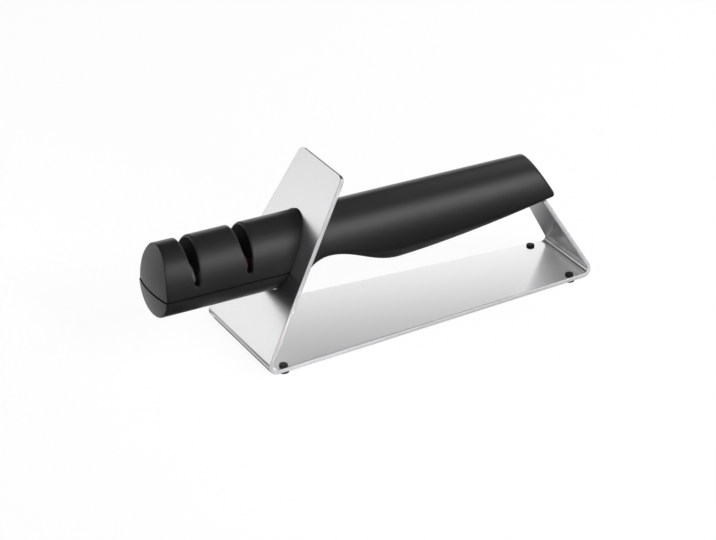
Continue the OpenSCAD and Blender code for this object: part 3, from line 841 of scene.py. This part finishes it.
def build_wheel(name, xc, side):
    """One ceramic wheel: a turned profile with its grinding cone, rim and chamfered back."""
    rim_x = (WHEEL_R - NOTCH_R) * math.tan(GRIND)
    outline = [(HUB_R, 0), (NOTCH_R, 0), (WHEEL_R, side * rim_x), (WHEEL_R, side * (rim_x + RIM_W)),
               (5.5, side * PAIR_HALF), (HUB_R, side * PAIR_HALF)]
    soft = rounded(outline, WHEEL_ROUND)
    return turned(name, np.concatenate([soft, soft[:1]]), (xc, 0, PARTING), "x", 128, 50)


# Finishes

def new_group(name, inputs):
    """A group for a pattern, with its number inputs given as (name, default)."""
    group = bpy.data.node_groups.new(name, "ShaderNodeTree")
    for label, default in inputs:
        socket = group.interface.new_socket(label, in_out="INPUT", socket_type="NodeSocketFloat")
        socket.default_value = default
    for label in ("Height", "Roughness", "Mask"):
        group.interface.new_socket(label, in_out="OUTPUT", socket_type="NodeSocketFloat")
    return group, group.nodes.new("NodeGroupInput"), group.nodes.new("NodeGroupOutput")


def add(tree, kind, links=(), **values):
    """A node with its inputs set or linked by name or number, and its fields set."""
    node = tree.nodes.new(kind)
    for key, value in values.items():
        if hasattr(node, key):
            setattr(node, key, value)
        else:
            node.inputs[key].default_value = value
    for key, source in links:
        tree.links.new(source, node.inputs[key])
    return node


def feed(tree, socket, value):
    """Links the value to the socket, or sets it there if it is a number."""
    if hasattr(value, "is_output"):
        tree.links.new(value, socket)
    else:
        socket.default_value = value


def math_node(tree, operation, a, b, clamp=False):
    """The result of a Math node. Each operand is a socket or a number."""
    node = add(tree, "ShaderNodeMath", operation=operation, use_clamp=clamp)
    feed(tree, node.inputs[0], a)
    feed(tree, node.inputs[1], b)
    return node.outputs[0]


def times(tree, a, b):
    """a times b."""
    return math_node(tree, "MULTIPLY", a, b)


def less(tree, a, b):
    """a less b."""
    return math_node(tree, "SUBTRACT", a, b)


def most(tree, a, b):
    """The larger of a and b."""
    return math_node(tree, "MAXIMUM", a, b)


def ramp(tree, value, start, end, low=0.0, high=1.0):
    """Goes smoothly from low to high while the value goes from start to end."""
    node = add(tree, "ShaderNodeMapRange", [("Value", value)], interpolation_type="SMOOTHSTEP")
    for key, limit in zip(("From Min", "From Max", "To Min", "To Max"), (start, end, low, high)):
        feed(tree, node.inputs[key], limit)
    return node.outputs["Result"]


def towards(tree, direction, way):
    """Cosine of the angle between a direction and the way given."""
    node = add(tree, "ShaderNodeVectorMath", [(0, direction)], operation="DOT_PRODUCT")
    node.inputs[1].default_value = way
    return node.outputs["Value"]


def blend(tree, factor, first, second):
    """Mixes two shaders by the factor."""
    return add(tree, "ShaderNodeMixShader", [(0, factor), (1, first.outputs[0]),
                                             (2, second.outputs[0])])


def tones(tree, factor, first, second):
    """Mixes two colours by the factor."""
    mix = add(tree, "ShaderNodeMix", [("Factor", factor)], data_type="RGBA")
    mix.inputs["A"].default_value = (*first, 1)
    mix.inputs["B"].default_value = (*second, 1)
    return mix.outputs["Result"]


def put_out(group, source, sink, height, wander, mask):
    """Puts out a pattern's height, its mask, and a roughness that wanders round its middle
    value by the spread."""
    swing = times(group, wander, source.outputs["Spread"])
    rough = math_node(group, "ADD", swing, source.outputs["Roughness"], clamp=True)
    for key, value in (("Height", height), ("Roughness", rough), ("Mask", mask)):
        group.links.new(value, sink.inputs[key])


def moulded_grain():
    """Fine grain of a spark-eroded mould: two layers of noise, and a slow cloud as mask."""
    group, source, sink = new_group(
        "moulded_grain", [("Grain Size", 0.0004), ("Roughness", 0.4), ("Spread", 0.05)])
    place = add(group, "ShaderNodeTexCoord").outputs["Object"]
    scale = math_node(group, "DIVIDE", 1.0, source.outputs["Grain Size"])
    fine = add(group, "ShaderNodeTexNoise", [("Vector", place), ("Scale", scale)],
               Detail=3.0, Roughness=0.6)
    coarse = times(group, scale, 0.35)
    dimple = add(group, "ShaderNodeTexVoronoi", [("Vector", place), ("Scale", coarse)],
                 feature="SMOOTH_F1")
    cloud = add(group, "ShaderNodeTexNoise", [("Vector", place)], Scale=45.0, Detail=4.0)
    mix = math_node(group, "MULTIPLY_ADD", dimple.outputs["Distance"], 0.5)
    group.links.new(fine.outputs["Fac"], mix.node.inputs[2])
    wander, speck = (less(group, noise.outputs["Fac"], 0.5) for noise in (cloud, fine))
    both = math_node(group, "ADD", wander, speck)
    put_out(group, source, sink, mix, both, cloud.outputs["Fac"])


def brushed_lines():
    """Brushed metal: noise drawn out along the first coordinate of the vector given, in
    three widths. The height is the mask too."""
    group, source, sink = new_group(
        "brushed_lines", [("Line Width", 0.00012), ("Stretch", 90.0), ("Roughness", 0.3),
                          ("Spread", 0.1)])
    group.interface.new_socket("Vector", in_out="INPUT", socket_type="NodeSocketVector")
    split = add(group, "ShaderNodeSeparateXYZ", [("Vector", source.outputs["Vector"])])
    layers = []
    for width, share in ((1.0, 0.55), (3.1, 0.3), (14.0, 0.15)):
        size = times(group, source.outputs["Line Width"], width)
        across = math_node(group, "DIVIDE", 1.0, size)
        along = math_node(group, "DIVIDE", across, source.outputs["Stretch"])
        joined = add(group, "ShaderNodeCombineXYZ")
        for axis, scale in (("X", along), ("Y", across), ("Z", across)):
            stretched = times(group, split.outputs[axis], scale)
            group.links.new(stretched, joined.inputs[axis])
        noise = add(group, "ShaderNodeTexNoise", [("Vector", joined.outputs["Vector"])],
                    Scale=1.0, Detail=2.0)
        layers.append(times(group, noise.outputs["Fac"], share))
    height = math_node(group, "ADD", math_node(group, "ADD", layers[0], layers[1]), layers[2])
    put_out(group, source, sink, height, less(group, height, 0.5), height)


def new_material(name, **sockets):
    """A material with a Principled shader whose plain sockets are set by name."""
    material = bpy.data.materials.new(name)
    material.use_nodes = True
    shader = material.node_tree.nodes["Principled BSDF"]
    for key, value in sockets.items():
        shader.inputs[key.replace("_", " ")].default_value = value
    return material, material.node_tree, shader


def patterned(target, pattern, vector, colour, shades, bump, depth, **inputs):
    """Lets a pattern drive a new material: its mask mixes the colour's two shades, and its
    roughness and height go to gloss and bump."""
    material, tree, shader = target
    group = add(tree, "ShaderNodeGroup", node_tree=bpy.data.node_groups[pattern])
    for key, value in inputs.items():
        group.inputs[key.replace("_", " ")].default_value = value
    if vector:
        coords = add(tree, "ShaderNodeTexCoord")
        tree.links.new(coords.outputs[vector], group.inputs["Vector"])
    dark, light = ([min(1, c * shade) for c in colour] for shade in shades)
    paint = tones(tree, group.outputs["Mask"], dark, light)
    relief = add(tree, "ShaderNodeBump", [("Height", group.outputs["Height"])],
                 Strength=bump, Distance=depth)
    for key, value in (("Base Color", paint), ("Roughness", group.outputs["Roughness"]),
                       ("Normal", relief.outputs["Normal"])):
        tree.links.new(value, shader.inputs[key])
    return material


def grained(name, colour, roughness, grain, bump, tint=0.12, **sockets):
    """Moulded plastic, rubber or fired ceramic."""
    return patterned(new_material(name, **sockets), "moulded_grain", None, colour,
                     (1 - tint, 1 + tint), bump, grain * 0.25,
                     Grain_Size=grain, Roughness=roughness, Spread=0.06)


def brushed(name, colour, roughness, along, width=0.00012, bump=0.1, **sockets):
    """Brushed metal. Its lines run along the strip's own length where along is UV, or along
    X where it is Object."""
    return patterned(new_material(name, **{"Metallic": 1.0, **sockets}), "brushed_lines", along,
                     colour, (0.93, 1.06), bump, width * 0.2,
                     Line_Width=width, Roughness=roughness, Spread=0.12)


def finish(obj, material):
    obj.data.materials.clear()
    obj.data.materials.append(material)


def fit(obj, body, node, material=None):
    """Gives a new piece its body and its material unless it has its own, and hides the CAD
    node that it stands for."""
    if material:
        finish(obj, material)
    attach(obj, body)
    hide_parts(node)


# Operators

class SHARPENER_OT_finishes(bpy.types.Operator):
    """Make the materials and put them on the inner CAD pieces"""

    bl_idname = "sharpener.finishes"
    bl_label = "Finishes"

    def execute(self, context):
        look = context.scene.sharpener_finishes
        moulded_grain()
        brushed_lines()
        steel = brushed("brushed_stainless", look.steel, look.steel_roughness, "UV")
        brushed("cut_steel_edge", look.steel, 0.6, "UV", bump=0.3, Metallic=0.77)
        # Painted shade: dark steel for the plate's top edge and the opening's wall.
        brushed("painted_shade_steel_edge", (0.12, 0.12, 0.12), 0.6, "UV", bump=0.3)
        grained("satin_black_plastic", look.plastic, look.plastic_roughness, 0.00035, 0.22,
                IOR=1.5)
        # Painted shade: a darker, duller copy of the body plastic for the slot and pocket walls and
        # the seam's faces.
        grained("slot_shade_and_seam_plastic", [c * 0.6 for c in look.plastic], 0.7, 0.0003, 0.2,
                IOR=1.2)
        grained("foot_rubber", look.rubber, 0.55, 0.0003, 0.25, IOR=1.33)
        grained("coarse_ceramic", look.coarse, 0.6, 0.00018, 0.6, tint=0.06)
        grained("fine_ceramic", look.fine, 0.5, 0.00009, 0.5, tint=0.06)
        hub = grained("hub_plastic", look.bearing, 0.4, 0.0003, 0.1, tint=0.04)
        plated = brushed("plated_steel", (0.62, 0.62, 0.63), 0.22, "Object", 0.00008)
        for name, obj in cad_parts.items():
            if name.endswith(("_hub", "_clamp_ring")):
                finish(obj, hub)
            elif name.endswith(("_axle", "_washers")) or name.startswith("cover_screw"):
                finish(obj, plated)
            elif name == "stand_sheet":
                finish(obj, steel)
        return {"FINISHED"}


class SHARPENER_OT_stand(bpy.types.Operator):
    """Build the bent steel sheet with its rounded edges and opening"""

    bl_idname = "sharpener.stand"
    bl_label = "Stand"

    def execute(self, context):
        stand = build_stand(rounding("sheet_edge"))
        fit(stand, "stand", "stand_sheet")
        return {"FINISHED"}


class SHARPENER_OT_feet(bpy.types.Operator):
    """Build the four push-through rubber feet"""

    bl_idname = "sharpener.feet"
    bl_label = "Feet"

    def execute(self, context):
        names = ("foot_front_right", "foot_front_left", "foot_rear_right", "foot_rear_left")
        for name, (x, y) in zip(names, foot_places()):
            foot = build_foot(name + "_skin", x, y)
            fit(foot, "stand", name, bpy.data.materials["foot_rubber"])
        return {"FINISHED"}


class SHARPENER_OT_body(bpy.types.Operator):
    """Build the moulded housing with its handle, and the lower cover"""

    bl_idname = "sharpener.body"
    bl_label = "Housing and cover"

    def execute(self, context):
        fit(build_housing(), "sharpener", "handle_housing")
        fit(build_cover(), "sharpener", "lower_cover")
        return {"FINISHED"}


class SHARPENER_OT_wheels(bpy.types.Operator):
    """Build the four ceramic wheels of the coarse and the fine stage"""

    bl_idname = "sharpener.wheels"
    bl_label = "Ceramic wheels"

    def execute(self, context):
        for stage, xc in (("coarse", COARSE_X), ("fine", FINE_X)):
            for place, side in (("front", -1), ("rear", 1)):
                node = f"{stage}_wheel_{place}"
                wheel = build_wheel(node + "_skin", xc, side)
                fit(wheel, f"{stage}_rollers", node,
                    bpy.data.materials[f"{stage}_ceramic"])
        return {"FINISHED"}


class SHARPENER_OT_stage(bpy.types.Operator):
    """Set up the pale floor, the soft lamps, the surroundings and the camera"""

    bl_idname = "sharpener.stage"
    bl_label = "Studio"

    def execute(self, context):
        studio = context.scene.sharpener_studio
        make_floor()
        make_world(studio)
        middle = (0.0, 0.0, 0.045)
        make_lamp("key_lamp", (0.5, -0.86, 0.9), middle, 0.9, 0.6, studio.key)
        make_lamp("flank_softbox", (0.36, -0.59, 0.32), (0.04, -0.015, 0.045), 0.36, 0.26,
                  studio.softbox, mirrored=True)
        make_lamp("slot_lamp", (0.12, -0.8, 0.5), (-0.08, 0.0, 0.045), 0.08, 0.25,
                  studio.slot_lamp, spread=12)
        make_lamp("overhead_panel", (0.46, 0.05, 0.5), (0.46, 0.05, 0.0), 0.4, 0.5,
                  studio.overhead, mirrored=True)
        make_lamp("rear_softbox", (0.188, 0.303, 0.098), (0.02, 0.0, 0.003), 0.42, 0.18,
                  studio.rear, mirrored=True, diffuse=False, roll=7)
        make_lamp("left_softbox", (-0.284, 0.258, 0.086), (-0.05, 0.0, 0.045), 0.22, 0.2,
                  studio.left, mirrored=True, diffuse=False)
        make_camera(studio)
        context.scene.view_settings.view_transform = "Standard"
        return {"FINISHED"}


# Where reflections see the floor glow with painted light: on the left behind, far behind, and in
# # a band round the base; elsewhere under the object they see it painted dark as shadow. Each is
# # the place where it begins and the place where it is full.
LIT_LEFT, LIT_LEFT_Y = (-0.072, -0.095), (0.0, 0.03)
LIT_BEHIND, LIT_BAND, LIT_RIM = (0.018, 0.095), (0.005, 0.003), (-0.0015, -0.0005)
DIMMER_Y = (0.055, 0.13)
# Brightness of the floor to the camera, then to reflections, and how much of it is lost where
# it is dimmer. Share of it in the band at the base's left end, and how much is lost past there.
FLOOR_WHITE, FLOOR_LIT, FLOOR_LOSS = 0.94, 0.95, 0.35
BAND_SHARE, BAND_LOSS, BAND_FALL = 0.85, 0.65, (0.001, 0.01)


def make_floor():
    """A wide pale floor, white to the camera, that keeps the shadow. Reflections see a painted
    glow on it on the left, behind and close round the base, and painted shadow, a dark colour,
    elsewhere under the object."""
    half = 3.0
    mesh = bpy.data.meshes.new("studio_floor")
    mesh.from_pydata([(-half, -half, 0), (half, -half, 0), (half, half, 0), (-half, half, 0)],
                     [], [(0, 1, 2, 3)])
    floor = bpy.data.objects.new("studio_floor", mesh)
    bpy.context.scene.collection.objects.link(floor)
    material, tree, shader = new_material("pale_floor", Roughness=0.9)
    path = add(tree, "ShaderNodeLightPath")
    place = add(tree, "ShaderNodeTexCoord").outputs["Object"]
    split = add(tree, "ShaderNodeSeparateXYZ", [("Vector", place)])
    x, y = split.outputs["X"], split.outputs["Y"]
    # Distance from the base's outline, whose sides draw in towards the rear.
    middle = STAND_LEN / 2 - ORIGIN_X
    narrowing = (FRONT_W - REAR_W) / 2 / STAND_LEN
    from_middle = less(tree, x, middle * MM)
    out_x = less(tree, math_node(tree, "ABSOLUTE", from_middle, 0), STAND_LEN / 2 * MM)
    slant = times(tree, from_middle, narrowing)
    out_y = less(tree, math_node(tree, "ADD", math_node(tree, "ABSOLUTE", y, 0), slant),
                 (FRONT_W + REAR_W) / 4 * MM)
    out = most(tree, out_x, out_y)
    lit = most(tree, times(tree, ramp(tree, x, *LIT_LEFT), ramp(tree, y, *LIT_LEFT_Y)),
               ramp(tree, y, *LIT_BEHIND))
    band = times(tree, ramp(tree, out, *LIT_BAND), ramp(tree, out, *LIT_RIM))
    left_end = -ORIGIN_X * MM
    fall = ramp(tree, x, left_end + BAND_FALL[0], left_end + BAND_FALL[1])
    lit = most(tree, lit, times(tree, band, less(tree, BAND_SHARE, times(tree, fall, BAND_LOSS))))
    level = less(tree, FLOOR_LIT, times(tree, ramp(tree, y, *DIMMER_Y), FLOOR_LOSS))
    mirrored = path.outputs["Is Glossy Ray"]
    # Painted shadow: to reflections the floor is dark grey wherever it isn't painted lit.
    dark = times(tree, less(tree, 1.0, lit), mirrored)
    paint = tones(tree, dark, (0.84, 0.84, 0.84), (0.07, 0.07, 0.07))
    tree.links.new(paint, shader.inputs["Base Color"])
    # Painted light: to reflections the floor glows wherever it is painted lit.
    glow = add(tree, "ShaderNodeEmission", Strength=1.0)
    bright = times(tree, times(tree, lit, level), mirrored)
    seen = most(tree, path.outputs["Is Camera Ray"], path.outputs["Is Transmission Ray"])
    mix = blend(tree, most(tree, times(tree, seen, FLOOR_WHITE), bright), shader, glow)
    # From below the floor is clear, so that the object's underside can be looked at.
    below = add(tree, "ShaderNodeNewGeometry").outputs["Backfacing"]
    clear = add(tree, "ShaderNodeBsdfTransparent")
    mix = blend(tree, below, mix, clear)
    tree.links.new(mix.outputs[0], tree.nodes["Material Output"].inputs["Surface"])
    finish(floor, material)


# Soft patches of the surroundings: direction, angles in degrees at which the patch begins to
# fade and is gone, and the brightness it adds. The last three light the steel for cameras at
# the back, over and at the left end of the object.
PATCHES = (
    ((0.43, -0.82, 0.37), 10, 30, 0.5),
    ((-0.6, -0.72, 0.36), 20, 45, 0.55),
    ((-0.3, 0.3, 0.9), 10, 30, 0.55),
    ((-0.8, -0.05, 0.6), 15, 34, 0.55),
)
# The way to the bright wall, level and to the right behind the object.
BACK_WAY = (0.8, 0.6, 0)


def make_world(studio):
    """Surroundings: plain white to the camera. Otherwise dim walls, brighter on the right
    behind, under a dark ceiling, with the soft patches."""
    world = bpy.data.worlds.new("studio_surroundings")
    bpy.context.scene.world = world
    world.use_nodes = True
    tree = world.node_tree
    tree.nodes.clear()
    direction = add(tree, "ShaderNodeTexCoord").outputs["Generated"]
    split = add(tree, "ShaderNodeSeparateXYZ", [("Vector", direction)])
    side = ramp(tree, towards(tree, direction, BACK_WAY), 0.4, 0.75, studio.front_wall,
                studio.back_wall)
    level = ramp(tree, split.outputs["Z"], 0.47, 0.61, side, studio.ceiling)
    for way, inner, outer, strength in PATCHES:
        angle = towards(tree, direction, Vector(way).normalized())
        edges = [math.cos(math.radians(degrees)) for degrees in (outer, inner)]
        level = math_node(tree, "ADD", level, ramp(tree, angle, *edges, 0, strength))
    room = add(tree, "ShaderNodeBackground", [("Strength", level)])
    white = add(tree, "ShaderNodeBackground", Strength=1.0)
    for node in (room, white):
        node.inputs["Color"].default_value = (1, 1, 1, 1)
    path = add(tree, "ShaderNodeLightPath")
    mix = blend(tree, path.outputs["Is Camera Ray"], room, white)
    output = add(tree, "ShaderNodeOutputWorld")
    tree.links.new(mix.outputs[0], output.inputs["Surface"])


def make_lamp(name, place, target, width, height, power, mirrored=False, diffuse=True,
              roll=0, spread=180):
    """A rectangular softbox at place, turned to the target, with its roll and the spread of
    its beam in degrees. It shows in gloss only if mirrored, and lights matt surfaces unless
    diffuse is off."""
    light = bpy.data.lights.new(name, "AREA")
    light.shape, light.size, light.size_y, light.energy = "RECTANGLE", width, height, power
    light.spread = math.radians(spread)
    lamp = bpy.data.objects.new(name, light)
    lamp.location = place
    turn = (Vector(target) - Vector(place)).to_track_quat("-Z", "Y")
    lamp.rotation_euler = (turn @ Quaternion((0, 0, 1), math.radians(roll))).to_euler()
    lamp.visible_camera = False
    lamp.visible_glossy, lamp.visible_diffuse = mirrored, diffuse
    bpy.context.scene.collection.objects.link(lamp)


def make_camera(studio):
    """The camera at the photograph's angle. Its place follows from the angles, the distance
    and the shift, in millimetres, of the stand's corner from the middle of the view."""
    a, e = studio.azimuth, studio.elevation
    back = Vector((math.sin(a) * math.cos(e), -math.cos(a) * math.cos(e), math.sin(e)))
    right = Vector((math.cos(a), math.sin(a), 0))
    up = back.cross(right)
    corner_right, corner_up = -55.19, -35.35
    place = back * studio.distance / MM - right * corner_right - up * corner_up
    place.x -= ORIGIN_X
    data = bpy.data.cameras.new("studio_camera")
    data.lens, data.sensor_width, data.clip_start = studio.lens, 36.0, 0.01
    camera = bpy.data.objects.new("studio_camera", data)
    turn = Matrix((right, up, back)).transposed().to_4x4()
    camera.matrix_world = Matrix.Translation(place * MM) @ turn
    bpy.context.scene.collection.objects.link(camera)
    bpy.context.scene.camera = camera


STEPS = (SHARPENER_OT_finishes, SHARPENER_OT_stand, SHARPENER_OT_feet, SHARPENER_OT_body,
         SHARPENER_OT_wheels, SHARPENER_OT_stage)


class SHARPENER_PT_panel(bpy.types.Panel):
    """Lists the building steps and their settings in the sidebar"""

    bl_label = "Knife sharpener"
    bl_idname = "SHARPENER_PT_panel"
    bl_space_type = "VIEW_3D"
    bl_region_type = "UI"
    bl_category = "Sharpener"

    def draw(self, context):
        layout = self.layout
        for step in STEPS:
            layout.operator(step.bl_idname)
        for group in ("sharpener_details", "sharpener_finishes", "sharpener_studio"):
            settings = getattr(context.scene, group)
            box = layout.box()
            for key in settings.__annotations__:
                box.prop(settings, key)


GROUPS = (("sharpener_details", SharpenerDetails), ("sharpener_finishes", SharpenerFinishes),
          ("sharpener_studio", StudioSettings))


def register():
    for name, group in GROUPS:
        bpy.utils.register_class(group)
        setattr(bpy.types.Scene, name, PointerProperty(type=group))
    for cls in (*STEPS, SHARPENER_PT_panel):
        bpy.utils.register_class(cls)


def unregister():
    for cls in (SHARPENER_PT_panel, *reversed(STEPS)):
        bpy.utils.unregister_class(cls)
    for name, group in reversed(GROUPS):
        delattr(bpy.types.Scene, name)
        bpy.utils.unregister_class(group)


def main():
    register()
    bpy.ops.sharpener.finishes()
    bpy.ops.sharpener.stand()
    bpy.ops.sharpener.feet()
    bpy.ops.sharpener.body()
    bpy.ops.sharpener.wheels()
    bpy.ops.sharpener.stage()


if __name__ == "__main__":
    main()
